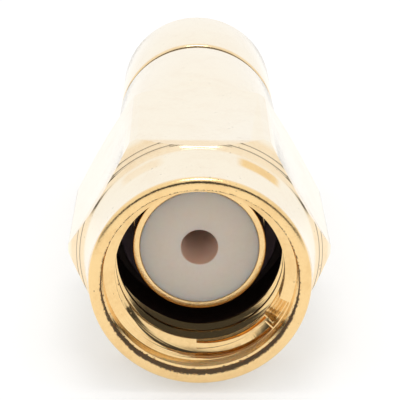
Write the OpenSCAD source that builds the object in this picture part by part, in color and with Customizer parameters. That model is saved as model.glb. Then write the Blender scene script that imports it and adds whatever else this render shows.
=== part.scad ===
// Crimp-type SMA plug for RG58-size coaxial cable, without its loose centre contact.
// The connector's axis lies along Y. The mating end faces -Y, +Z is up, and the origin is
// on the axis at the reference plane, which is the front face of the outer-contact sleeve.
// Axial sizes are measured backwards from the coupling nut's front edge. Radial sizes step
// outwards from the insulator, so that every piece follows the one that it fits around.

/* [Coaxial line and sleeve] */
// Diameter of the insulator, which is the inner diameter of the outer contact
line_d = 4.1; // [3.4:0.02:5]
// Diameter of the insulator's contact bore
contact_bore_d = 1.27; // [1:0.01:1.6]
// Length of the insulator
insulator_len = 9.2; // [7.2:0.1:11.2]
// Wall of the outer-contact sleeve
sleeve_wall = 0.24; // [0.18:0.01:0.3]
// Chamfer on the front edge of the sleeve
sleeve_chamfer = 0.05; // [0.02:0.01:0.08]
// Distance from the nut's front edge back to the reference plane
sleeve_setback = 3.2; // [3.1:0.05:3.9]
// Length of the sleeve in front of the gasket boss
sleeve_len = 2; // [1.9:0.05:2.4]

/* [Gasket] */
// Radial step from the sleeve up to the boss that the gasket sits on
gasket_boss_step = 0.17; // [0.16:0.01:0.24]
// Radial width of the gasket
gasket_w = 0.34; // [0.28:0.01:0.5]
// Thickness of the gasket
gasket_t = 0.58; // [0.48:0.02:0.8]
// How far the gasket stands forward of its boss
gasket_proud = 0.18; // [0.1:0.02:0.18]

/* [Shank and retaining ring] */
// Distance from the gasket seat back to the front of the nut's rear bore
bore_setback = 0.15; // [0.13:0.01:0.4]
// Radial running clearance between the shank and the nut
shank_clearance = 0.06; // [0.02:0.01:0.09]
// Distance from the gasket seat back to the ring's middle
ring_setback = 1.55; // [1.3:0.05:1.9]
// Thickness of the split ring along the axis
ring_t = 0.5; // [0.4:0.02:0.6]
// Radial height of the split ring
ring_h = 0.65; // [0.54:0.01:0.8]
// Depth of the ring groove in the shank
ring_groove_depth = 0.4; // [0.3:0.02:0.45]
// Opening of the split ring, in degrees
ring_gap_angle = 36; // [15:1:60]
// Travel of the ring each way in the shank's groove
ring_float = 0.12; // [0.05:0.01:0.15]
// Clearance on each side of the ring in its grooves
ring_side_clearance = 0.03; // [0.02:0.01:0.05]
// Clearance between the ring's inside and the floor of the shank's groove
ring_floor_clearance = 0.05; // [0.03:0.01:0.08]
// Clearance between the ring's outside and the roof of the nut's groove
ring_roof_clearance = 0.07; // [0.03:0.01:0.1]

/* [Thread space inside the nut] */
// Radial space between the sleeve and the crests of the 1/4-36 thread
barrel_space = 0.54; // [0.53:0.01:0.62]
// Radial step from the thread's crests out to the plain counterbore
counterbore_step = 0.35; // [0.28:0.01:0.45]
// Depth of the plain counterbore
counterbore_depth = 0.9; // [0.6:0.05:1.1]
// Length of the threaded stretch
thread_len = 2.25; // [1.85:0.05:2.7]
// Radial step from the counterbore out to the relief behind the thread
relief_step = 0.02; // [0:0.01:0.1]

/* [Coupling nut] */
// Length of the coupling nut
nut_len = 9.2; // [7.8:0.1:11.2]
// Wall of the collar at the front lip
lip_wall = 0.47; // [0.42:0.01:0.6]
// Outer rounding of the front lip
lip_outer_round = 0.24; // [0.12:0.02:0.24]
// Inner rounding of the front lip
lip_inner_round = 0.16; // [0.06:0.02:0.16]
// Length of the round collar in front of the hexagon
collar_len = 2.15; // [1.6:0.05:2.7]
// Radial growth of the collar from its lip to the hexagon
collar_flare = 0.23; // [0.1:0.01:0.3]
// How far the hexagon's flats stand out from the collar, which makes 7.94 mm across flats
flat_step = 0.09; // [0.05:0.01:0.6]
// How much the hexagon's corners are turned down
corner_turned = 0.085; // [0.02:0.005:0.2]
// Angle between the axis and the front chamfer of the hexagon
front_chamfer_angle = 33; // [28:1:50]
// Angle between the axis and the rear chamfer of the hexagon
rear_chamfer_angle = 35; // [30:1:60]
// How far the rear face's edge lies inside the flats
rear_face_inset = 0.1; // [0.02:0.02:0.3]

/* [Body and crimp end] */
// Gap between the nut's rear face and the body's shoulder
nut_rear_gap = 0.3; // [0.2:0.02:0.5]
// Radial step from the shank out to the body behind the nut
body_step = 0.45; // [0.3:0.01:0.8]
// Length of the body behind the nut
body_len = 7.6; // [6.2:0.1:12]
// Diameter of the bore for the cable's inner insulation
cable_bore_d = 3; // [2.5:0.02:3.6]
// Wall of the knurled crimp stem
stem_wall = 0.45; // [0.36:0.01:0.55]
// Spacing of the rings knurled into the stem
knurl_pitch = 0.5; // [0.4:0.05:0.8]
// Depth of the rings knurled into the stem
knurl_depth = 0.1; // [0.05:0.01:0.14]
// Radial space between the stem and the ferrule, for the cable's braid
braid_space = 0.83; // [0.6:0.01:1]
// Wall of the crimp ferrule
ferrule_wall = 0.445; // [0.36:0.005:0.55]
// Length of the crimp ferrule
ferrule_len = 4.6; // [3.8:0.1:9]
// Gap between the body's shoulder and the ferrule
ferrule_gap = 0.4; // [0.2:0.05:0.8]
// Length of the neck inside the front of the ferrule
neck_grip_len = 1; // [0.6:0.1:1.4]
// How far the crimp stem stops short of the ferrule's rear end
stem_recess = 0.6; // [0.2:0.1:1.5]
// Chamfer on the edges of the body, the ferrule and the nut's rear bore
edge_chamfer = 0.15; // [0.05:0.01:0.2]

/* [Hidden] */

$fn = 96;
eps = 0.01;
arc_steps = 8;
gold = "#e3b565";
gasket_round = 0.08;
ring_round = 0.08;

// Stations along the axis
boss_front = sleeve_setback + sleeve_len;
gasket_front = boss_front - gasket_proud;
gasket_seat = gasket_front + gasket_t;
ring_mid = gasket_seat + ring_setback;
bore_front = gasket_seat + bore_setback;
shoulder_front = nut_len + nut_rear_gap;
shoulder_rear = shoulder_front + body_len;
ferrule_front = shoulder_rear + ferrule_gap;
ferrule_rear = ferrule_front + ferrule_len;
neck_rear = ferrule_front + neck_grip_len;
stem_rear = ferrule_rear - stem_recess;
insulator_rear = sleeve_setback + insulator_len;

// Radii, from the insulator outwards
contact_bore_r = contact_bore_d / 2;
line_r = line_d / 2;
sleeve_r = line_r + sleeve_wall;
boss_r = sleeve_r + gasket_boss_step;
shank_r = boss_r + gasket_w;
nut_bore_r = shank_r + shank_clearance;
thread_r = sleeve_r + barrel_space;
counterbore_r = thread_r + counterbore_step;
relief_r = counterbore_r + relief_step;
lip_r = counterbore_r + lip_wall;
collar_r = lip_r + collar_flare;
flat_r = collar_r + flat_step;
hex_corner_r = flat_r / cos(30) - corner_turned;
rear_face_r = flat_r - rear_face_inset;
body_r = shank_r + body_step;

// Radii of the retaining ring and its two grooves
ring_floor_r = shank_r - ring_groove_depth;
ring_in_r = ring_floor_r + ring_floor_clearance;
ring_out_r = ring_in_r + ring_h;
nut_groove_r = ring_out_r + ring_roof_clearance;

// Radii of the crimp end
cable_r = cable_bore_d / 2;
stem_r = cable_r + stem_wall;
ferrule_in_r = stem_r + braid_space;
ferrule_out_r = ferrule_in_r + ferrule_wall;

// Points along an arc about [r, z] in a half-section, from angle a to angle b
function arc(r, z, radius, a, b) =
    [for (i = [0 : arc_steps])
        let (t = a + (b - a) * i / arc_steps)
        [r + radius * cos(t), z + radius * sin(t)]];

// A half-section given as [radius, distance behind the nut's front edge], turned about Y
module turned(points) {
    translate([0, -sleeve_setback, 0])
        rotate([-90, 0, 0])
            rotate_extrude()
                polygon(points);
}

// A ring of rectangular section with rounded corners
module round_edged_ring(r_in, r_out, front, rear, radius) {
    turned(concat(
        arc(r_in + radius, front + radius, radius, 180, 270),
        arc(r_out - radius, front + radius, radius, 270, 360),
        arc(r_out - radius, rear - radius, radius, 0, 90),
        arc(r_in + radius, rear - radius, radius, 90, 180)
    ));
}

// The turned outside of the nut: rounded lip, tapered collar and both hexagon chamfers
module nut_envelope() {
    front_run = (hex_corner_r - collar_r) / tan(front_chamfer_angle);
    rear_run = (hex_corner_r - rear_face_r) / tan(rear_chamfer_angle);
    turned(concat(
        [[0, 0]],
        arc(lip_r - lip_outer_round, lip_outer_round, lip_outer_round, 270, 360),
        [[collar_r, collar_len],
         [hex_corner_r, collar_len + front_run],
         [hex_corner_r, nut_len - rear_run],
         [rear_face_r, nut_len],
         [0, nut_len]]
    ));
}

// The hexagonal bar behind the collar, with a flat on top and one underneath
module hex_bar() {
    translate([0, collar_len - sleeve_setback, 0])
        rotate([-90, 0, 0])
            cylinder(h = nut_len - collar_len, r = flat_r / cos(30), $fn = 6);
}

// The collar's own round bar, which the nut's envelope then turns down
module collar_bar() {
    turned([
        [0, 0],
        [collar_r, 0],
        [collar_r, collar_len + eps],
        [0, collar_len + eps]
    ]);
}

// Everything bored out of the nut: lip round, counterbore, thread, relief, bore and ring groove
module nut_bores() {
    thread_front = counterbore_depth;
    thread_rear = thread_front + thread_len;
    lead_in = counterbore_step / 3;
    groove_half = ring_t / 2 + ring_side_clearance;
    turned(concat(
        [[0, -eps], [counterbore_r + lip_inner_round, -eps]],
        arc(counterbore_r + lip_inner_round, lip_inner_round, lip_inner_round, 270, 180),
        [[counterbore_r, thread_front],
         [thread_r, thread_front + lead_in],
         [thread_r, thread_rear],
         [relief_r, thread_rear],
         [relief_r, bore_front],
         [nut_bore_r, bore_front],
         [nut_bore_r, ring_mid - groove_half],
         [nut_groove_r, ring_mid - groove_half],
         [nut_groove_r, ring_mid + groove_half],
         [nut_bore_r, ring_mid + groove_half],
         [nut_bore_r, nut_len - edge_chamfer],
         [nut_bore_r + edge_chamfer, nut_len],
         [nut_bore_r + edge_chamfer, nut_len + eps],
         [0, nut_len + eps]]
    ));
}

module coupling_nut() {
    color(gold)
    difference() {
        intersection() {
            union() {
                hex_bar();
                collar_bar();
            }
            nut_envelope();
        }
        nut_bores();
    }
}

// The split ring that holds the nut on the shank: its gap faces up
module retaining_ring() {
    half_gap = ring_gap_angle / 2;
    reach = 2 * ring_out_r;
    color("#c99a4b")
    difference() {
        round_edged_ring(
            ring_in_r, ring_out_r, ring_mid - ring_t / 2, ring_mid + ring_t / 2, ring_round
        );
        translate([0, ring_mid - sleeve_setback - ring_t, 0])
            rotate([-90, 0, 0])
                linear_extrude(2 * ring_t)
                    polygon([
                        [0, 0],
                        [-reach * tan(half_gap), -reach],
                        [reach * tan(half_gap), -reach]
                    ]);
    }
}

module gasket() {
    color("#1c1a1d")
        round_edged_ring(boss_r, shank_r, gasket_front, gasket_seat, gasket_round);
}

// V-shaped rings knurled around the crimp stem, from its neck to its rear end
function knurl_points() =
    let (count = floor((stem_rear - neck_rear) / knurl_pitch),
         pitch = (stem_rear - neck_rear) / count)
    [for (i = [0 : count - 1], half = [0, 0.5])
        [stem_r - (half == 0 ? 0 : knurl_depth), neck_rear + (i + half) * pitch]];

// Sleeve, gasket boss, shank with its ring groove, body, ferrule neck and crimp stem
module outer_body() {
    groove_half = ring_t / 2 + ring_float + ring_side_clearance;
    color(gold)
    turned(concat(
        [[line_r, sleeve_setback],
         [sleeve_r - sleeve_chamfer, sleeve_setback],
         [sleeve_r, sleeve_setback + sleeve_chamfer],
         [sleeve_r, boss_front],
         [boss_r, boss_front],
         [boss_r, gasket_seat],
         [shank_r, gasket_seat],
         [shank_r, ring_mid - groove_half],
         [ring_floor_r, ring_mid - groove_half],
         [ring_floor_r, ring_mid + groove_half],
         [shank_r, ring_mid + groove_half],
         [shank_r, shoulder_front],
         [body_r - edge_chamfer, shoulder_front],
         [body_r, shoulder_front + edge_chamfer],
         [body_r, shoulder_rear - edge_chamfer],
         [body_r - edge_chamfer, shoulder_rear],
         [ferrule_in_r, shoulder_rear],
         [ferrule_in_r, neck_rear]],
        knurl_points(),
        [[stem_r, stem_rear],
         [cable_r, stem_rear],
         [cable_r, insulator_rear],
         [line_r, insulator_rear]]
    ));
}

module insulator() {
    color("#ded8d2")
    turned([
        [contact_bore_r, sleeve_setback],
        [line_r, sleeve_setback],
        [line_r, insulator_rear],
        [contact_bore_r, insulator_rear]
    ]);
}

module crimp_ferrule() {
    color(gold)
    turned([
        [ferrule_in_r, ferrule_front],
        [ferrule_out_r - edge_chamfer, ferrule_front],
        [ferrule_out_r, ferrule_front + edge_chamfer],
        [ferrule_out_r, ferrule_rear - edge_chamfer],
        [ferrule_out_r - edge_chamfer, ferrule_rear],
        [ferrule_in_r + edge_chamfer, ferrule_rear],
        [ferrule_in_r, ferrule_rear - edge_chamfer]
    ]);
}

coupling_nut();
retaining_ring();
gasket();
outer_body();
insulator();
crimp_ferrule();
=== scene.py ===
"""Visual model of a crimp-type coaxial plug: nut, body, ferrule, insulator, gasket and split ring.

Every piece is modelled in millimetres round the connector's axis and then brought to the
frame's metres. Depths are measured backwards from the front edge of the coupling nut.
"""

import logging
import math
from collections.abc import Iterator
from contextlib import contextmanager
from dataclasses import dataclass
from enum import Enum

import bpy
from mathutils import Matrix, Vector


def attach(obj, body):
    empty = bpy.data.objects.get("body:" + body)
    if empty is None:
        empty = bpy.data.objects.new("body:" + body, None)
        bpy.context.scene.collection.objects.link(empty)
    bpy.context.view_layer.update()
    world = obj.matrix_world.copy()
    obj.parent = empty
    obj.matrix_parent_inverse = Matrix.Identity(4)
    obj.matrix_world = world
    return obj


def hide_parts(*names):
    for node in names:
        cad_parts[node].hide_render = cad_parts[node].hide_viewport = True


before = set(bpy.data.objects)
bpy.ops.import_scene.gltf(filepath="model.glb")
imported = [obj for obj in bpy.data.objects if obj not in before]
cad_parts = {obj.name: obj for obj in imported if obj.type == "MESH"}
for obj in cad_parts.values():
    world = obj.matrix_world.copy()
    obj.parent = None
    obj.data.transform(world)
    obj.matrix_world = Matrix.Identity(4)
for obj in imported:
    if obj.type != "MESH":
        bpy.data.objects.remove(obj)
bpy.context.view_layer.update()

MM = 0.001
SLEEVE_SETBACK = 3.2
LOG = logging.getLogger("plug")

Point = tuple[float, float]
Colour = tuple[float, float, float]
Socket = bpy.types.NodeSocket


class Body(Enum):
    """The moving bodies that pieces ride on."""

    CONNECTOR = "connector_body"
    RING = "ring"
    NUT = "nut"


def linear(colour: Colour) -> tuple[float, float, float, float]:
    """Turns a display colour, 0 to 1, into the linear colour with alpha that sockets hold."""

    def one(v: float) -> float:
        """Decodes one channel."""
        return v / 12.92 if v <= 0.04045 else ((v + 0.055) / 1.055) ** 2.4

    return (*(one(v) for v in colour), 1.0)


# ---------------------------------------------------------------- modelling


def only(piece: bpy.types.Object) -> None:
    """Leaves one object selected and active."""
    bpy.ops.object.select_all(action="DESELECT")
    piece.select_set(True)
    bpy.context.view_layer.objects.active = piece


@contextmanager
def editing(piece: bpy.types.Object) -> Iterator[None]:
    """Opens a piece in edit mode and closes it again afterwards."""
    only(piece)
    bpy.ops.object.mode_set(mode="EDIT")
    bpy.ops.mesh.select_mode(type="VERT")
    try:
        yield
    finally:
        bpy.ops.object.mode_set(mode="OBJECT")


def depth_to_y(depth: float) -> float:
    """The place along Y, in millimetres, of a depth behind the nut's front edge."""
    return depth - SLEEVE_SETBACK


def arc(r: float, z: float, radius: float, start: float, end: float, steps: int = 6) -> list[Point]:
    """Points along a rounding in a half-section.

    Args:
        r: radius of the rounding's centre from the connector's axis.
        z: depth of that centre.
        radius: radius of the rounding itself.
        start: first angle in degrees, where 0 points away from the axis and 90 backwards.
        end: last angle in degrees.
        steps: number of straight steps.

    Returns:
        The points from the first angle to the last.
    """
    turns = [math.radians(start + (end - start) * i / steps) for i in range(steps + 1)]
    return [(r + radius * math.cos(t), z + radius * math.sin(t)) for t in turns]


def turned(name: str, section: list[Point], segments: int = 192) -> bpy.types.Object:
    """Turns a closed half-section into a mesh, by carrying one circle from point to point.

    Args:
        name: name of the new piece.
        section: points as (radius, depth), in order round the section.
        segments: number of sides of the circle.

    Returns:
        The new piece, still in millimetres.
    """
    r, z = section[0]
    bpy.ops.object.select_all(action="DESELECT")
    bpy.ops.mesh.primitive_circle_add(
        vertices=segments, radius=r, location=(0, depth_to_y(z), 0), rotation=(math.pi / 2, 0, 0)
    )
    piece = bpy.context.object
    piece.name = name
    bpy.ops.object.transform_apply(location=True, rotation=True, scale=True)
    with editing(piece):
        bpy.ops.mesh.select_all(action="SELECT")
        for next_r, next_z in section[1:]:
            bpy.ops.mesh.extrude_edges_move(TRANSFORM_OT_translate={"value": (0, next_z - z, 0)})
            grow = next_r / r
            bpy.ops.transform.resize(value=(grow, 1, grow), center_override=(0, depth_to_y(next_z), 0))
            r, z = next_r, next_z
        bpy.ops.mesh.select_all(action="DESELECT")
        bpy.ops.mesh.select_non_manifold()
        bpy.ops.mesh.bridge_edge_loops()
        bpy.ops.mesh.select_all(action="SELECT")
        bpy.ops.mesh.normals_make_consistent(inside=False)
    return piece


def apply_all(piece: bpy.types.Object) -> None:
    """Applies every modifier of a piece, in order."""
    only(piece)
    for name in [m.name for m in piece.modifiers]:
        bpy.ops.object.modifier_apply(modifier=name)


def finish_piece(
    piece: bpy.types.Object, body: Body, node: str, finish: bpy.types.Material, crease: float = 32.0
) -> None:
    """Brings a piece to metres, smooths it, dresses it and puts it in its CAD node's place.

    Args:
        piece: the modelled piece, in millimetres.
        body: the body that it rides on.
        node: the CAD node that it stands for.
        finish: the material.
        crease: the angle in degrees past which an edge stays sharp.
    """
    with editing(piece):
        bpy.ops.mesh.select_all(action="SELECT")
        bpy.ops.transform.resize(value=(MM, MM, MM), center_override=(0, 0, 0))
    only(piece)
    bpy.ops.object.shade_smooth_by_angle(angle=math.radians(crease))
    piece.data.materials.clear()
    piece.data.materials.append(finish)
    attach(piece, body.value)
    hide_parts(node)
    LOG.info("%s: %d faces on %s", piece.name, len(piece.data.polygons), body.value)


@dataclass(frozen=True)
class HelicalCut:
    """A cutter with four corners that is carried round the axis like a thread tool.

    Attributes:
        start: direction of its blunt start, in degrees from +X towards +Z.
        depth: depth of the cutter's middle at the start.
        turns: how many turns it makes.
        corners: four corners as (radius, depth from the cutter's middle).
        shift: how far the cutter's own axis lies to the side, as (x, z).
    """

    start: float
    depth: float
    turns: float
    corners: tuple[Point, Point, Point, Point]
    shift: Point = (0.0, 0.0)
    pitch: float = 0.7056
    steps_a_turn: int = 180

    def build(self) -> bpy.types.Object:
        """Models the cutter.

        Returns:
            A closed solid in millimetres.
        """
        bpy.ops.object.select_all(action="DESELECT")
        bpy.ops.mesh.primitive_plane_add(size=1)
        cutter = bpy.context.object
        cutter.name = "thread_cutter"
        way = Vector((math.cos(math.radians(self.start)), 0, math.sin(math.radians(self.start))))
        places = [way * r + Vector((0, depth_to_y(self.depth + z), 0)) for r, z in self.corners]
        order = [0, 1, 3, 2]
        for index, place in zip(order, places):
            with editing(cutter):
                bpy.ops.mesh.select_all(action="DESELECT")
            cutter.data.vertices[index].select = True
            step = place - cutter.data.vertices[index].co
            with editing(cutter):
                bpy.ops.transform.translate(value=step)
        with editing(cutter):
            bpy.ops.mesh.select_all(action="SELECT")
            bpy.ops.mesh.delete(type="ONLY_FACE")
        screw = cutter.modifiers.new("carry", "SCREW")
        screw.axis = "Y"
        screw.angle = math.tau * self.turns
        screw.screw_offset = self.pitch * self.turns
        screw.steps = screw.render_steps = max(3, round(self.steps_a_turn * self.turns))
        screw.use_merge_vertices = False
        apply_all(cutter)
        with editing(cutter):
            bpy.ops.mesh.select_all(action="SELECT")
            bpy.ops.mesh.fill_holes(sides=0)
            bpy.ops.mesh.select_all(action="SELECT")
            bpy.ops.mesh.normals_make_consistent(inside=False)
            bpy.ops.transform.translate(value=(self.shift[0], 0, self.shift[1]))
        return cutter


def cut_away(piece: bpy.types.Object, cutter: bpy.types.Object) -> None:
    """Takes a cutter's shape out of a piece and deletes the cutter."""
    cut = piece.modifiers.new("cut", "BOOLEAN")
    cut.operation = "DIFFERENCE"
    cut.solver = "EXACT"
    cut.object = cutter
    apply_all(piece)
    bpy.data.objects.remove(cutter)


# ---------------------------------------------------------------- finishes


class Graph:
    """A shader tree with short calls for the nodes that the finishes use."""

    def __init__(self, tree: bpy.types.NodeTree) -> None:
        """Takes the tree to fill."""
        self.tree = tree

    def node(self, kind: str, links: dict[str | int, object] | None = None, **settings: object) -> bpy.types.Node:
        """Adds one node.

        Args:
            kind: its type, without the ShaderNode in front.
            links: what goes in each input: a socket, a number or a colour.
            **settings: the node's own properties.

        Returns:
            The node.
        """
        made = self.tree.nodes.new("ShaderNode" + kind)
        for key, value in settings.items():
            setattr(made, key, value)
        for key, value in (links or {}).items():
            if isinstance(value, bpy.types.NodeSocket):
                self.tree.links.new(value, made.inputs[key])
            else:
                made.inputs[key].default_value = value
        return made

    def math(self, operation: str, *values: object) -> Socket:
        """One arithmetic step on sockets or numbers."""
        return self.node("Math", dict(enumerate(values)), operation=operation).outputs[0]

    def remap(self, value: Socket, low: object, high: object, to_low: float = 0.0, to_high: float = 1.0) -> Socket:
        """Takes low to to_low and high to to_high on a soft curve."""
        links = {"Value": value, "From Min": low, "From Max": high, "To Min": to_low, "To Max": to_high}
        return self.node("MapRange", links, interpolation_type="SMOOTHSTEP").outputs[0]

    def band(self, value: Socket, low: float, high: float, soft: float) -> Socket:
        """A mask that is 1 between low and high, with soft ends."""
        rise = self.remap(value, low - soft, low + soft)
        fall = self.remap(value, high - soft, high + soft, 1.0, 0.0)
        return self.math("MULTIPLY", rise, fall)

    def noise(self, where: Socket, scale: float, detail: float = 3.0, rough: float = 0.55) -> Socket:
        """Fractal noise from 0 to 1."""
        links = {"Vector": where, "Scale": scale, "Detail": detail, "Roughness": rough}
        return self.node("TexNoise", links).outputs[0]

    def mix(self, mask: object, base: object, over: object) -> Socket:
        """Lays one colour over another by a mask."""
        made = self.node("Mix", {0: mask, 6: base, 7: over}, data_type="RGBA")
        return made.outputs[2]

    def group(self, tree: bpy.types.NodeTree, **links: object) -> bpy.types.Node:
        """Places a shared group; underscores in the names stand for spaces."""
        made = self.tree.nodes.new("ShaderNodeGroup")
        made.node_tree = tree
        for key, value in links.items():
            target = made.inputs[key.replace("_", " ")]
            if isinstance(value, bpy.types.NodeSocket):
                self.tree.links.new(value, target)
            else:
                target.default_value = value
        return made


def new_group(
    name: str, takes: dict[str, tuple[str, object]], gives: dict[str, str]
) -> tuple[Graph, dict[str, Socket], bpy.types.Node]:
    """Starts a shared node group.

    Args:
        name: its name.
        takes: inputs as name: (socket type, default).
        gives: outputs as name: socket type.

    Returns:
        The graph, its inputs by name, and the output node to link to.
    """
    tree = bpy.data.node_groups.new(name, "ShaderNodeTree")
    for key, (kind, default) in takes.items():
        made = tree.interface.new_socket(name=key, in_out="INPUT", socket_type="NodeSocket" + kind)
        if default is not None:
            made.default_value = default
    for key, kind in gives.items():
        tree.interface.new_socket(name=key, in_out="OUTPUT", socket_type="NodeSocket" + kind)
    source = tree.nodes.new("NodeGroupInput")
    sink = tree.nodes.new("NodeGroupOutput")
    return Graph(tree), {s.name: s for s in source.outputs}, sink


class SharedEffects:
    """Node groups that several finishes place with their own values."""

    def __init__(self) -> None:
        """Builds every group once."""
        self.place = self._place()
        self.turning = self._turning()
        self.grain = self._grain()
        self.mottle = self._mottle()
        self.pits = self._pits()

    def _place(self) -> bpy.types.NodeTree:
        """Object coordinates as millimetres, depth behind the nut's front edge, and radius."""
        g, _, sink = new_group(
            "place on the connector", {}, {"Millimetres": "Vector", "Depth": "Float", "Radius": "Float", "Around": "Vector"}
        )
        here = g.node("TexCoord").outputs["Object"]
        mm = g.node("VectorMath", {0: here, 3: 1.0 / MM}, operation="SCALE").outputs[0]
        split = g.node("SeparateXYZ", {0: mm})
        depth = g.math("ADD", split.outputs[1], SLEEVE_SETBACK)
        flat = g.node("CombineXYZ", {0: split.outputs[0], 2: split.outputs[2]}).outputs[0]
        radius = g.node("VectorMath", {0: flat}, operation="LENGTH").outputs["Value"]
        around = g.node("VectorMath", {0: flat}, operation="NORMALIZE").outputs[0]
        for name, socket in (("Millimetres", mm), ("Depth", depth), ("Radius", radius), ("Around", around)):
            g.tree.links.new(socket, sink.inputs[name])
        return g.tree

    def _turning(self) -> bpy.types.NodeTree:
        """Fine lines round the axis, as a lathe tool leaves them."""
        g, take, sink = new_group(
            "turned lines", {"Lines a mm": ("Float", 20.0), "Waver": ("Float", 0.4)}, {"Height": "Float"}
        )
        where = g.node("Group")
        where.node_tree = self.place
        along = g.math("ADD", where.outputs["Depth"], where.outputs["Radius"])
        along = g.math("MULTIPLY", along, take["Lines a mm"])
        ring = g.node("VectorMath", {0: where.outputs["Around"], 3: take["Waver"]}, operation="SCALE").outputs[0]
        split = g.node("SeparateXYZ", {0: ring})
        joined = g.node("CombineXYZ", {0: split.outputs[0], 1: along, 2: split.outputs[2]}).outputs[0]
        g.tree.links.new(g.noise(joined, 1.0, 2.0, 0.6), sink.inputs["Height"])
        return g.tree

    def _grain(self) -> bpy.types.NodeTree:
        """The fine satin grain of electroplating."""
        g, take, sink = new_group("plating grain", {"Size mm": ("Float", 0.05)}, {"Height": "Float"})
        where = g.node("Group")
        where.node_tree = self.place
        scale = g.math("DIVIDE", 1.0, take["Size mm"])
        fine = g.node("TexNoise", {"Vector": where.outputs["Millimetres"], "Scale": scale, "Detail": 3.0}).outputs[0]
        coarse = g.math("MULTIPLY", scale, 0.3)
        soft = g.node("TexNoise", {"Vector": where.outputs["Millimetres"], "Scale": coarse, "Detail": 2.0}).outputs[0]
        g.tree.links.new(g.math("ADD", g.math("MULTIPLY", fine, 0.5), g.math("MULTIPLY", soft, 0.5)), sink.inputs["Height"])
        return g.tree

    def _mottle(self) -> bpy.types.NodeTree:
        """Slow patches of deeper and paler plating, with fine specks in them."""
        g, take, sink = new_group(
            "mottled plating",
            {"Pale": ("Color", (1, 1, 1, 1)), "Deep": ("Color", (0.5, 0.3, 0.1, 1)), "Amount": ("Float", 0.5)},
            {"Color": "Color", "Patch": "Float"},
        )
        where = g.node("Group")
        where.node_tree = self.place
        slow = g.noise(where.outputs["Millimetres"], 0.9, 4.0, 0.6)
        fast = g.noise(where.outputs["Millimetres"], 7.0, 3.0, 0.7)
        both = g.math("ADD", g.math("MULTIPLY", slow, 0.6), g.math("MULTIPLY", fast, 0.4))
        patch = g.remap(both, 0.42, 0.68)
        mask = g.math("MULTIPLY", patch, take["Amount"])
        g.tree.links.new(g.mix(mask, take["Pale"], take["Deep"]), sink.inputs["Color"])
        g.tree.links.new(patch, sink.inputs["Patch"])
        return g.tree

    def _pits(self) -> bpy.types.NodeTree:
        """Small round pits, gathered in clusters."""
        g, take, sink = new_group("pits", {"Pits a mm": ("Float", 9.0), "Cover": ("Float", 0.3)}, {"Mask": "Float"})
        where = g.node("Group")
        where.node_tree = self.place
        cells = g.node("TexVoronoi", {"Vector": where.outputs["Millimetres"], "Scale": take["Pits a mm"]})
        groups = g.noise(where.outputs["Millimetres"], 1.6, 3.0)
        size = g.math("MULTIPLY", g.remap(groups, 0.42, 0.75), take["Cover"])
        own = g.node("SeparateXYZ", {0: cells.outputs["Color"]}).outputs[0]
        size = g.math("MULTIPLY", size, g.remap(own, 0.35, 1.0))
        edge = g.math("MULTIPLY", size, 0.6)
        g.tree.links.new(g.remap(cells.outputs["Distance"], edge, size, 1.0, 0.0), sink.inputs["Mask"])
        return g.tree


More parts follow.
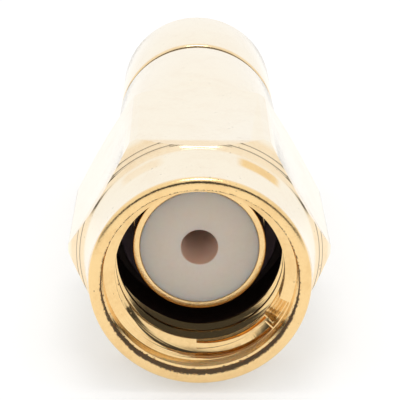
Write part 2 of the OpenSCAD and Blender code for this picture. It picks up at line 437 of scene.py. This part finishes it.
@dataclass(frozen=True)
class GoldFinish:
    """Electroplated gold with painted light: a richer colour painted as shade inside and a paler colour painted as
    bright reflection on the outside.

    Attributes:
        name: the material's name.
        rich: the colour inside, painted as shade on the gold.
        pale: the colour of the outside, painted as a bright reflection.
        deep: the colour of slow patches and specks.
        soil_and_shade: the dark colour of pits, also used to paint shade in recesses and grooves.
        patches: how strong the patches are.
        pale_radius: radius past which the painted pale reflection takes over.
        pale_depth: depth past which it does.
        satin: roughness.
        lines_a_mm: turned lines a millimetre.
        line_mm: height of the turned lines inside, where the tool marks stay coarse.
        fine_line_mm: height of the turned lines outside.
        grain_mm: size of the plating's grain.
        grain_height_mm: height of the grain.
        gap: depths between which the groove in front of the ferrule is painted dark as shade, with a richer painted
            reflection beside it.
    """

    name: str
    rich: Colour = (0.965, 0.83, 0.60)
    pale: Colour = (0.985, 0.945, 0.865)
    deep: Colour = (0.84, 0.62, 0.33)
    soil_and_shade: Colour = (0.24, 0.18, 0.15)
    patches: float = 0.25
    pale_radius: float = 3.0
    pale_depth: float = 8.0
    satin: float = 0.10
    lines_a_mm: float = 15.0
    line_mm: float = 0.0160
    fine_line_mm: float = 0.0012
    grain_mm: float = 0.045
    grain_height_mm: float = 0.0016
    gap: tuple[float, float] = (17.08, 17.52)

    def zones(self, g: Graph, where: bpy.types.Node) -> dict[str, Socket | float]:
        """Masks for the zones of a piece: pale (a painted reflection), soil and shade (dark marks that include
        painted shade), satin, coarse and grainy.

        Args:
            g: the material's graph.
            where: the place group.

        Returns:
            A mask for each zone.
        """
        depth, radius = where.outputs["Depth"], where.outputs["Radius"]
        # Painted light: outside pale_radius and behind pale_depth the gold is painted pale as a bright reflection.
        pale = g.math(
            "MULTIPLY",
            g.remap(radius, self.pale_radius - 0.05, self.pale_radius + 0.05),
            g.remap(depth, self.pale_depth - 0.1, self.pale_depth + 0.1),
        )
        # Painted shade in the groove in front of the ferrule, with a richer painted reflection on each side of it.
        edges = g.band(depth, self.gap[0] - 0.12, self.gap[1] + 0.12, 0.14)
        pale = g.math("SUBTRACT", pale, g.math("MULTIPLY", edges, 0.8))
        soil_and_shade = g.math("MULTIPLY", g.band(depth, *self.gap, 0.03), g.remap(radius, 3.22, 3.14))
        return {"pale": pale, "soil_and_shade": g.math("MULTIPLY", soil_and_shade, 0.8), "satin": 0.0, "coarse": 0.0, "grainy": 0.0}

    def build(self, effects: SharedEffects) -> bpy.types.Material:
        """Makes the material.

        Args:
            effects: the shared node groups.

        Returns:
            The material.
        """
        material = bpy.data.materials.new(self.name)
        material.use_nodes = True
        g = Graph(material.node_tree)
        shader = material.node_tree.nodes["Principled BSDF"]
        where = g.group(effects.place)
        zone = self.zones(g, where)
        # Painted light: the pale painted reflection laid over the richer painted-shade colour.
        base = g.mix(zone["pale"], linear(self.rich), linear(self.pale))
        tone = g.group(effects.mottle, Pale=base, Deep=linear(self.deep))
        # Patches and specks are stronger on the richer, painted-shade side.
        painted_shade_side = g.math("SUBTRACT", 1.0, g.math("MULTIPLY", zone["pale"], 0.72))
        g.tree.links.new(g.math("MULTIPLY", painted_shade_side, self.patches), tone.inputs["Amount"])
        lines = g.group(effects.turning, Lines_a_mm=self.lines_a_mm)
        grain = g.group(effects.grain, Size_mm=self.grain_mm)
        pits = g.group(effects.pits, Pits_a_mm=7.0, Cover=0.42)
        speck = g.math("MULTIPLY", pits.outputs["Mask"], g.math("MULTIPLY", painted_shade_side, 0.55))
        # Dark colour: real pits, plus the painted shade and painted dark reflections from the zones.
        dark = g.math("MAXIMUM", zone["soil_and_shade"], speck)
        colour = g.mix(dark, tone.outputs["Color"], linear(self.soil_and_shade))
        rough = g.math("MULTIPLY_ADD", tone.outputs["Patch"], 0.06, self.satin)
        rough = g.math("MULTIPLY_ADD", zone["satin"], 0.07, rough)
        rough = g.math("MULTIPLY_ADD", dark, 0.35, rough)
        more_line = self.line_mm - self.fine_line_mm
        more_grain = 4.0 * self.grain_height_mm
        line_height = g.math("MULTIPLY_ADD", zone["coarse"], more_line, self.fine_line_mm)
        grain_height = g.math("MULTIPLY_ADD", zone["grainy"], more_grain, self.grain_height_mm)
        height = g.math("MULTIPLY", lines.outputs["Height"], line_height)
        height = g.math("MULTIPLY_ADD", grain.outputs["Height"], grain_height, height)
        height = g.math("MULTIPLY_ADD", dark, -0.004, height)
        metal = g.math("MULTIPLY_ADD", dark, -0.7, 1.0)
        bump = g.node("Bump", {"Height": height, "Strength": 1.0, "Distance": MM})
        g.tree.links.new(colour, shader.inputs["Base Color"])
        g.tree.links.new(rough, shader.inputs["Roughness"])
        g.tree.links.new(metal, shader.inputs["Metallic"])
        g.tree.links.new(bump.outputs[0], shader.inputs["Normal"])
        return material


@dataclass(frozen=True)
class NutGold(GoldFinish):
    """The nut's plating, with a grainy lip, a rough dark mouth and coarse tool marks inside.

    Attributes:
        chamfer: depths of the front chamfer.
        marks: radii of the tool marks on the chamfer, where dark reflections are painted.
        painted_reflection_patch: depths of the richer patch painted on the collar as a reflection.
        painted_reflection_way: which way round the painted reflection patch lies.
        mouth: depths of the dark turned edge inside the mouth.
    """

    chamfer: tuple[float, float] = (2.2, 2.95)
    marks: tuple[tuple[float, float], ...] = ((4.046, 4.082), (4.176, 4.198))
    painted_reflection_patch: tuple[float, float] = (1.50, 2.10)
    painted_reflection_way: tuple[float, float, float] = (0.51, 0.0, 0.86)
    mouth: tuple[float, float] = (0.01, 0.37)

    def zones(self, g: Graph, where: bpy.types.Node) -> dict[str, Socket | float]:
        """Masks for the nut's zones."""
        mm, depth, radius = (where.outputs[n] for n in ("Millimetres", "Depth", "Radius"))
        # Painted light: the outside is painted pale as bright reflection and the chamfer a painted mid colour; the
        # lip and the inside keep the richer painted-shade colour.
        outside = g.remap(radius, 3.40, 3.46)
        lip = g.remap(depth, 0.22, 0.42, 1.0, 0.0)
        pale = g.math("MULTIPLY", outside, g.remap(depth, 0.10, 0.26))
        chamfer = g.math("MULTIPLY", g.band(depth, *self.chamfer, 0.12), g.remap(radius, 3.86, 3.92))
        pale = g.math("SUBTRACT", pale, g.math("MULTIPLY", chamfer, 0.45))
        # Painted reflection: dark lines painted along the tool marks on the chamfer.
        marks = g.math("MAXIMUM", *(g.band(radius, *span, 0.008) for span in self.marks))
        cone = g.math("MULTIPLY_ADD", g.math("SUBTRACT", radius, 3.88), 1.54, 2.15)
        on_cone = g.band(g.math("SUBTRACT", depth, cone), -0.05, 0.045, 0.01)
        marks = g.math("MULTIPLY", g.math("MULTIPLY", marks, on_cone), g.math("MULTIPLY", chamfer, 0.6))
        # Painted reflection: a richer patch painted on the collar's upper right.
        turn = g.node("VectorMath", {0: where.outputs["Around"]}, operation="ABSOLUTE").outputs[0]
        turn = g.node("VectorMath", {0: turn, 1: self.painted_reflection_way}, operation="DOT_PRODUCT").outputs["Value"]
        painted_reflection_patch = g.math("MULTIPLY", g.band(depth, *self.painted_reflection_patch, 0.14), g.remap(turn, 0.972, 0.992))
        right = g.remap(g.node("SeparateXYZ", {0: mm}).outputs[0], -0.5, 0.5, 0.3, 1.0)
        above = g.remap(g.node("SeparateXYZ", {0: mm}).outputs[2], 0.0, 1.0)
        painted_reflection_patch = g.math("MULTIPLY", painted_reflection_patch, g.math("MULTIPLY", right, above))
        pale = g.math("SUBTRACT", pale, g.math("MULTIPLY", painted_reflection_patch, 1.1))
        jag = g.math("SUBTRACT", g.noise(mm, 9.0, 4.0, 0.7), 0.5)
        uneven = g.math("MULTIPLY_ADD", jag, 0.42, depth)
        mouth = g.math("MULTIPLY", g.band(uneven, *self.mouth, 0.02), g.remap(radius, 3.32, 3.27))
        mouth = g.math("MULTIPLY", mouth, 0.9)
        # Painted shade: inside the nut, deeper than the thread's end, the gold is painted dark.
        inside = g.math("MULTIPLY", g.remap(depth, 3.1, 3.3), g.remap(radius, 3.3, 3.25))
        soil_and_shade = g.math("MAXIMUM", g.math("MAXIMUM", mouth, inside), marks)
        inner = g.math("SUBTRACT", 1.0, g.remap(radius, 3.20, 3.30))
        coarse = g.math("MULTIPLY", inner, g.remap(depth, 0.45, 0.9))
        return {"pale": pale, "soil_and_shade": soil_and_shade, "satin": lip, "coarse": coarse, "grainy": lip}


@dataclass(frozen=True)
class BodyGold(GoldFinish):
    """The body's plating, satin and grainy on the sleeve that meets the jack."""

    def zones(self, g: Graph, where: bpy.types.Node) -> dict[str, Socket | float]:
        """Masks for the body's zones."""
        found = super().zones(g, where)
        front = g.remap(where.outputs["Depth"], 3.3, 3.5, 1.0, 0.0)
        return {**found, "satin": front, "grainy": front}


@dataclass(frozen=True)
class RubberFinish:
    """Black rubber with a fine matt grain."""

    name: str = "gasket_rubber"
    colour: Colour = (0.44, 0.38, 0.42)
    pale: Colour = (0.52, 0.46, 0.49)

    def build(self, effects: SharedEffects) -> bpy.types.Material:
        """Makes the material from the shared node groups."""
        material = bpy.data.materials.new(self.name)
        material.use_nodes = True
        g = Graph(material.node_tree)
        shader = material.node_tree.nodes["Principled BSDF"]
        tone = g.group(effects.mottle, Pale=linear(self.colour), Deep=linear(self.pale), Amount=0.5)
        grain = g.group(effects.grain, Size_mm=0.04)
        bump = g.node("Bump", {"Height": grain.outputs["Height"], "Strength": 1.0, "Distance": 0.004 * MM})
        g.tree.links.new(tone.outputs["Color"], shader.inputs["Base Color"])
        g.tree.links.new(bump.outputs[0], shader.inputs["Normal"])
        rough = g.math("MULTIPLY_ADD", grain.outputs["Height"], 0.2, 0.5)
        g.tree.links.new(rough, shader.inputs["Roughness"])
        shader.inputs["Specular IOR Level"].default_value = 0.35
        return material


@dataclass(frozen=True)
class InsulatorFinish:
    """White fluoropolymer, waxy and slightly translucent."""

    name: str = "insulator_ptfe"
    colour: Colour = (0.99, 0.94, 0.90)
    shade: Colour = (0.96, 0.90, 0.85)
    # Painted shade: the darker, warmer colour of the bore.
    bore: Colour = (0.96, 0.86, 0.80)
    bore_radius: float = 0.66

    def build(self, effects: SharedEffects) -> bpy.types.Material:
        """Makes the material from the shared node groups."""
        material = bpy.data.materials.new(self.name)
        material.use_nodes = True
        g = Graph(material.node_tree)
        shader = material.node_tree.nodes["Principled BSDF"]
        tone = g.group(effects.mottle, Pale=linear(self.colour), Deep=linear(self.shade), Amount=0.35)
        lines = g.group(effects.turning, Lines_a_mm=9.0)
        where = g.group(effects.place)
        # Painted shade: the bore is painted in its darker, warmer colour.
        hole = g.remap(where.outputs["Radius"], self.bore_radius, self.bore_radius - 0.02)
        colour = g.mix(hole, tone.outputs["Color"], linear(self.bore))
        bump = g.node("Bump", {"Height": lines.outputs["Height"], "Strength": 1.0, "Distance": 0.002 * MM})
        g.tree.links.new(colour, shader.inputs["Base Color"])
        g.tree.links.new(bump.outputs[0], shader.inputs["Normal"])
        rough = g.math("MULTIPLY_ADD", lines.outputs["Height"], 0.1, 0.42)
        g.tree.links.new(rough, shader.inputs["Roughness"])
        shader.inputs["Subsurface Weight"].default_value = 0.8
        shader.inputs["Subsurface Radius"].default_value = (1.0, 0.7, 0.55)
        shader.inputs["Subsurface Scale"].default_value = 0.6 * MM
        shader.inputs["Specular IOR Level"].default_value = 0.35
        return material


# ---------------------------------------------------------------- pieces


@dataclass
class CouplingNut:
    """The captive nut: rounded lip, flared collar, chamfered hexagon and an internal thread."""

    length: float = 9.2
    mouth_r: float = 3.26
    mouth_depth: float = 0.40
    counterbore_r: float = 3.2
    counterbore_depth: float = 0.95
    thread_r: float = 2.83
    thread_root_r: float = 3.195
    thread_end: float = 3.15
    thread_pitch: float = 0.7056
    thread_start: float = -19.4
    thread_start_depth: float = 1.28
    blunt_arc: float = 19.1
    cleared_turns: float = 0.55
    cleared_r: float = 3.03
    cleared_shift: Point = (0.095, -0.135)
    relief_r: float = 3.2
    bore_r: float = 2.86
    bore_front: float = 5.75
    groove_r: float = 3.17
    groove_front: float = 6.87
    groove_rear: float = 7.43
    lip_r: float = 3.67
    lip_outer_round: float = 0.24
    lip_inner_round: float = 0.03
    collar_r: float = 3.88
    collar_length: float = 2.15
    flat_r: float = 3.97
    corner_r: float = 4.499
    front_chamfer: float = 33.0
    rear_chamfer: float = 35.0
    rear_face_r: float = 3.87
    rear_edge: float = 0.15
    tool_marks: tuple[tuple[float, float, float], ...] = (
        (3.925, 0.05, 0.016),
        (4.035, 0.115, 0.048),
        (4.165, 0.085, 0.034),
        (4.290, 0.060, 0.022),
    )

    def chamfer_points(self) -> list[Point]:
        """The front chamfer from collar to corner, with its tool marks as (radius, length, depth)."""
        slope = math.radians(self.front_chamfer)
        drop = 0.02

        def on_cone(r: float, along: float = 0.0, sunk: float = 0.0) -> Point:
            """A point of the chamfer's cone, so far along from radius r and sunk below the surface."""
            z = self.collar_length + (r - self.collar_r) / math.tan(slope)
            r_here = r + along * math.sin(slope) - sunk * math.cos(slope)
            return (r_here, z + along * math.cos(slope) + sunk * math.sin(slope))

        points = [on_cone(self.collar_r)]
        for r, length, sunk in self.tool_marks:
            points += [on_cone(r), on_cone(r, drop, sunk), on_cone(r, drop + length)]
        return points + [on_cone(self.corner_r)]

    def section(self) -> list[Point]:
        """The nut's half-section, from the front face round the outside and back through the bores."""
        rear_run = (self.corner_r - self.rear_face_r) / math.tan(math.radians(self.rear_chamfer))
        front = self.lip_inner_round
        step = self.mouth_r - self.counterbore_r
        lead = (self.counterbore_r - self.thread_r) / 3
        return [
            *arc(self.lip_r - self.lip_outer_round, self.lip_outer_round, self.lip_outer_round, 270, 360, 10),
            *self.chamfer_points(),
            (self.corner_r, self.length - rear_run),
            (self.rear_face_r, self.length),
            (self.bore_r + self.rear_edge, self.length),
            (self.bore_r, self.length - self.rear_edge),
            (self.bore_r, self.groove_rear),
            (self.groove_r, self.groove_rear),
            (self.groove_r, self.groove_front),
            (self.bore_r, self.groove_front),
            (self.bore_r, self.bore_front),
            (self.relief_r, self.bore_front),
            (self.relief_r, self.thread_end),
            (self.thread_r, self.thread_end),
            (self.thread_r, self.counterbore_depth + lead),
            (self.counterbore_r, self.counterbore_depth),
            (self.counterbore_r, self.mouth_depth + step),
            (self.mouth_r, self.mouth_depth),
            *arc(self.mouth_r + front, front, front, 180, 270, 4),
        ]

    def cut_flats(self, nut: bpy.types.Object) -> None:
        """Cuts the six flats, one on top and one underneath."""
        with editing(nut):
            for k in range(6):
                a = math.radians(30 + 60 * k)
                way = Vector((math.cos(a), 0, math.sin(a)))
                bpy.ops.mesh.select_all(action="SELECT")
                bpy.ops.mesh.bisect(plane_co=way * self.flat_r, plane_no=way, use_fill=True, clear_outer=True)

    def cut_thread(self, nut: bpy.types.Object) -> None:
        """Cuts the right-hand thread, its cleared first half turn and its blunt start."""
        half_root, inner = 0.05, 2.70
        half_mouth = half_root + (self.thread_root_r - inner) * math.tan(math.radians(30))
        groove = ((inner, -half_mouth), (self.thread_root_r, -half_root), (self.thread_root_r, half_root), (inner, half_mouth))
        turns = (self.thread_end + 0.35 - self.thread_start_depth) / self.thread_pitch
        flank_end = half_root + 1.07 * (self.cleared_r - inner)
        cleared = ((inner, -0.45), (self.cleared_r, -0.45), (self.cleared_r, half_root), (inner, flank_end))
        pocket_r = self.thread_root_r - 0.02
        pocket = ((inner, -0.4), (pocket_r, -0.4), (pocket_r, 0.42), (inner, 0.42))
        start, depth = self.thread_start, self.thread_start_depth
        lead = self.blunt_arc / 360
        cut_away(nut, HelicalCut(start, depth, turns, groove).build())
        cut_away(nut, HelicalCut(start, depth, lead, pocket).build())
        start, depth = start - self.blunt_arc, depth + lead * self.thread_pitch
        cut_away(nut, HelicalCut(start, depth, self.cleared_turns, cleared, self.cleared_shift).build())

    def build(self, finish: bpy.types.Material) -> None:
        """Models the nut and puts it in place.

        Args:
            finish: its gold finish.
        """
        nut = turned("coupling_nut_detailed", self.section(), 240)
        self.cut_flats(nut)
        self.cut_thread(nut)
        finish_piece(nut, Body.NUT, "coupling_nut", finish, 28.0)


@dataclass
class OuterBody:
    """Sleeve contact, gasket boss, shank, body, neck and knurled crimp stem, turned in one piece."""

    line_r: float = 2.05
    sleeve_r: float = 2.29
    boss_r: float = 2.46
    shank_r: float = 2.80
    groove_floor_r: float = 2.40
    body_r: float = 3.25
    neck_r: float = 2.78
    stem_r: float = 1.95
    cable_r: float = 1.50
    boss_front: float = 5.20
    gasket_seat: float = 5.60
    groove_front: float = 6.75
    groove_rear: float = 7.55
    shoulder_front: float = 9.50
    shoulder_rear: float = 17.10
    neck_rear: float = 18.50
    stem_rear: float = 21.50
    insulator_rear: float = 12.40
    knurls: int = 6
    knurl_depth: float = 0.10

    def section(self) -> list[Point]:
        """The body's half-section, from the sleeve's front edge over the outside and back."""
        fine, edge = 0.04, 0.15
        pitch = (self.stem_rear - self.neck_rear) / self.knurls
        knurl = [
            (self.stem_r - (0 if half == 0 else self.knurl_depth), self.neck_rear + (i + half) * pitch)
            for i in range(self.knurls)
            for half in (0, 0.5)
        ]
        return [
            *arc(self.sleeve_r - fine, SLEEVE_SETBACK + fine, fine, 270, 360, 5),
            (self.sleeve_r, self.boss_front),
            (self.boss_r, self.boss_front),
            (self.boss_r, self.gasket_seat),
            (self.shank_r, self.gasket_seat),
            (self.shank_r, self.groove_front),
            (self.groove_floor_r, self.groove_front),
            (self.groove_floor_r, self.groove_rear),
            (self.shank_r, self.groove_rear),
            (self.shank_r, self.shoulder_front),
            *arc(self.body_r - edge, self.shoulder_front + edge, edge, 270, 360, 6),
            *arc(self.body_r - edge, self.shoulder_rear - edge, edge, 0, 90, 6),
            (self.neck_r, self.shoulder_rear),
            (self.neck_r, self.neck_rear),
            *knurl,
            (self.stem_r, self.stem_rear - fine),
            (self.stem_r - fine, self.stem_rear),
            (self.cable_r + fine, self.stem_rear),
            (self.cable_r, self.stem_rear - fine),
            (self.cable_r, self.insulator_rear),
            (self.line_r, self.insulator_rear),
            *arc(self.line_r + fine, SLEEVE_SETBACK + fine, fine, 180, 270, 5),
        ]

    def build(self, finish: bpy.types.Material) -> None:
        """Models the body and puts it in place, in its gold finish."""
        body = turned("outer_body_detailed", self.section(), 192)
        finish_piece(body, Body.CONNECTOR, "outer_body", finish)


@dataclass
class Gasket:
    """The rubber gasket, with a thin lip that laps over the front of its boss."""

    lap_r: float = 2.31
    boss_r: float = 2.46
    outer_r: float = 2.80
    front: float = 5.02
    boss_front: float = 5.19
    rear: float = 5.60
    edge: float = 0.06

    def section(self) -> list[Point]:
        """The gasket's half-section."""
        return [
            *arc(self.lap_r + self.edge, self.front + self.edge, self.edge, 180, 270, 5),
            *arc(self.outer_r - self.edge, self.front + self.edge, self.edge, 270, 360, 5),
            (self.outer_r, self.rear),
            (self.boss_r, self.rear),
            (self.boss_r, self.boss_front),
            (self.lap_r, self.boss_front),
        ]

    def build(self, finish: bpy.types.Material) -> None:
        """Models the gasket and puts it in place, in black rubber."""
        gasket = turned("gasket_detailed", self.section(), 160)
        finish_piece(gasket, Body.CONNECTOR, "gasket", finish)


@dataclass
class Insulator:
    """The white sleeve between the outer contact and the centre contact's bore."""

    outer_r: float = 2.05
    bore_r: float = 0.635
    front: float = 3.20
    rear: float = 12.40
    edge: float = 0.03

    def section(self) -> list[Point]:
        """The insulator's half-section."""
        return [
            *arc(self.bore_r + self.edge, self.front + self.edge, self.edge, 180, 270, 5),
            *arc(self.outer_r - self.edge, self.front + self.edge, self.edge, 270, 360, 4),
            (self.outer_r, self.rear),
            (self.bore_r + self.edge, self.rear),
            (self.bore_r, self.rear - self.edge),
        ]

    def build(self, finish: bpy.types.Material) -> None:
        """Models the insulator and puts it in place."""
        piece = turned("insulator_detailed", self.section(), 160)
        finish_piece(piece, Body.CONNECTOR, "insulator", finish)


@dataclass
class CrimpFerrule:
    """The loose-ended tube that is crimped over the cable's braid."""

    inner_r: float = 2.78
    outer_r: float = 3.225
    front: float = 17.50
    rear: float = 22.10
    edge: float = 0.15

    def section(self) -> list[Point]:
        """The ferrule's half-section."""
        e = self.edge
        return [
            (self.inner_r, self.front),
            *arc(self.outer_r - e, self.front + e, e, 270, 360, 5),
            *arc(self.outer_r - e, self.rear - e, e, 0, 90, 5),
            *arc(self.inner_r + e, self.rear - e, e, 90, 180, 5),
        ]

    def build(self, finish: bpy.types.Material) -> None:
        """Models the ferrule and puts it in place, in its gold finish."""
        ferrule = turned("crimp_ferrule_detailed", self.section(), 192)
        finish_piece(ferrule, Body.CONNECTOR, "crimp_ferrule", finish)


# ---------------------------------------------------------------- studio


@dataclass(frozen=True)
class Softbox:
    """A soft rectangular lamp that looks at the connector."""

    name: str
    place_mm: tuple[float, float, float]
    size_mm: tuple[float, float]
    glow: float
    aim_mm: tuple[float, float, float] = (0.0, 4.0, 0.0)

    def build(self) -> None:
        """Adds the lamp. Its glow is the brightness of its surface, where 1 is plain white."""
        data = bpy.data.lights.new(self.name, "AREA")
        data.shape = "RECTANGLE"
        data.size, data.size_y = (s * MM for s in self.size_mm)
        data.energy = self.glow * math.pi * data.size * data.size_y
        lamp = bpy.data.objects.new(self.name, data)
        place, aim = Vector(self.place_mm) * MM, Vector(self.aim_mm) * MM
        turn = (place - aim).to_track_quat("Z", "Y").to_matrix().to_4x4()
        lamp.matrix_world = Matrix.Translation(place) @ turn
        bpy.context.scene.collection.objects.link(lamp)


@dataclass
class Studio:
    """Camera, floor and lights."""

    camera_mm: tuple[float, float, float] = (-0.540, -54.761, 22.379)
    aim_mm: tuple[float, float, float] = (-0.0186, -2.165, 2.554)
    roll_deg: float = 0.53
    lens_mm: float = 154.9
    floor_mm: float = -3.97
    floor_glow: float = 0.28
    soft_light: float = 1.0
    dark_top: tuple[float, float] = (53.0, 12.0)
    dark_foot: tuple[float, float] = (16.0, 4.0)
    dark_reach: float = 95.0
    dark_level: float = 0.05
    lamps: tuple[Softbox, ...] = (Softbox("overhead", (0.0, -6.0, 70.0), (26.0, 18.0), 5.0),)

    def camera(self) -> None:
        """Adds the camera and makes it the scene's own."""
        place = Vector(self.camera_mm) * MM
        away = place - Vector(self.aim_mm) * MM
        turn = away.to_track_quat("Z", "Y").to_matrix() @ Matrix.Rotation(math.radians(self.roll_deg), 3, "Z")
        data = bpy.data.cameras.new("camera")
        data.lens = self.lens_mm
        data.sensor_width = 36.0
        data.clip_start, data.clip_end = 0.001, 10.0
        camera = bpy.data.objects.new("camera", data)
        camera.matrix_world = Matrix.Translation(place) @ turn.to_4x4()
        bpy.context.scene.collection.objects.link(camera)
        bpy.context.scene.camera = camera

    def world(self) -> None:
        """A white room with a dark corner in front, which polished metal reflects.

        The room is full white to the camera and in reflections, and softer as a light.
        """
        world = bpy.data.worlds.new("studio")
        bpy.context.scene.world = world
        world.use_nodes = True
        g = Graph(world.node_tree)
        rays = g.node("LightPath")
        seen = g.math("MAXIMUM", rays.outputs["Is Camera Ray"], rays.outputs["Is Glossy Ray"])
        seen = g.math("MAXIMUM", seen, rays.outputs["Is Transmission Ray"])
        strength = g.math("MULTIPLY_ADD", seen, 1.0 - self.soft_light, self.soft_light)
        way = g.node("SeparateXYZ", {0: g.node("TexCoord").outputs["Generated"]}).outputs
        height = g.math("DEGREES", g.math("ARCSINE", way[2]))
        forward = g.math("MULTIPLY", way[1], -1.0)
        side = g.math("ABSOLUTE", g.math("DEGREES", g.math("ARCTAN2", way[0], forward)))
        top = g.remap(side, 0.0, self.dark_reach, *self.dark_top)
        foot = g.remap(side, 0.0, self.dark_reach, *self.dark_foot)
        under = g.remap(g.math("SUBTRACT", top, height), -6.0, 6.0)
        over = g.remap(g.math("SUBTRACT", height, foot), -4.0, 4.0)
        near = g.remap(side, self.dark_reach, self.dark_reach + 25.0, 1.0, 0.0)
        dark = g.math("MULTIPLY", g.math("MULTIPLY", under, over), near)
        light = g.math("MULTIPLY_ADD", dark, self.dark_level - 1.0, 1.0)
        keep = g.math("SUBTRACT", 1.0, rays.outputs["Is Glossy Ray"])
        strength = g.math("MULTIPLY", strength, g.math("MAXIMUM", light, keep))
        background = world.node_tree.nodes["Background"]
        background.inputs["Color"].default_value = (1, 1, 1, 1)
        g.tree.links.new(strength, background.inputs["Strength"])

    def floor(self) -> None:
        """A plain white floor that keeps the connector's shadow."""
        bpy.ops.object.select_all(action="DESELECT")
        bpy.ops.mesh.primitive_plane_add(size=1.2, location=(0, 0, self.floor_mm * MM))
        floor = bpy.context.object
        floor.name = "floor"
        bpy.ops.object.transform_apply(location=True, rotation=True, scale=True)
        material = bpy.data.materials.new("floor")
        material.use_nodes = True
        g = Graph(material.node_tree)
        shader = material.node_tree.nodes["Principled BSDF"]
        shader.inputs["Base Color"].default_value = (0.72, 0.72, 0.72, 1)
        shader.inputs["Roughness"].default_value = 0.9
        shader.inputs["Specular IOR Level"].default_value = 0.0
        rays = g.node("LightPath")
        seen = g.math("MAXIMUM", rays.outputs["Is Camera Ray"], rays.outputs["Is Glossy Ray"])
        shader.inputs["Emission Color"].default_value = (1, 1, 1, 1)
        g.tree.links.new(g.math("MULTIPLY", seen, self.floor_glow), shader.inputs["Emission Strength"])
        floor.data.materials.append(material)

    def build(self) -> None:
        """Sets up the whole studio."""
        bpy.context.scene.view_settings.view_transform = "Standard"
        self.camera()
        self.world()
        self.floor()
        for lamp in self.lamps:
            lamp.build()


def main() -> None:
    """Builds the studio and every piece of the connector."""
    logging.basicConfig(level=logging.INFO, format="%(message)s")
    Studio().build()
    effects = SharedEffects()
    CouplingNut().build(NutGold("nut_gold").build(effects))
    OuterBody().build(BodyGold("body_gold").build(effects))
    Gasket().build(RubberFinish().build(effects))
    Insulator().build(InsulatorFinish().build(effects))
    CrimpFerrule().build(GoldFinish("ferrule_gold").build(effects))
    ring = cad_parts["retaining_ring"]
    spring_colour = (0.86, 0.66, 0.36)
    spring = GoldFinish("ring_spring", rich=spring_colour, pale=spring_colour)
    ring.data.materials.clear()
    ring.data.materials.append(spring.build(effects))
    LOG.info("retaining_ring: the CAD node, dressed in %s", spring.name)


if __name__ == "__main__":
    main()
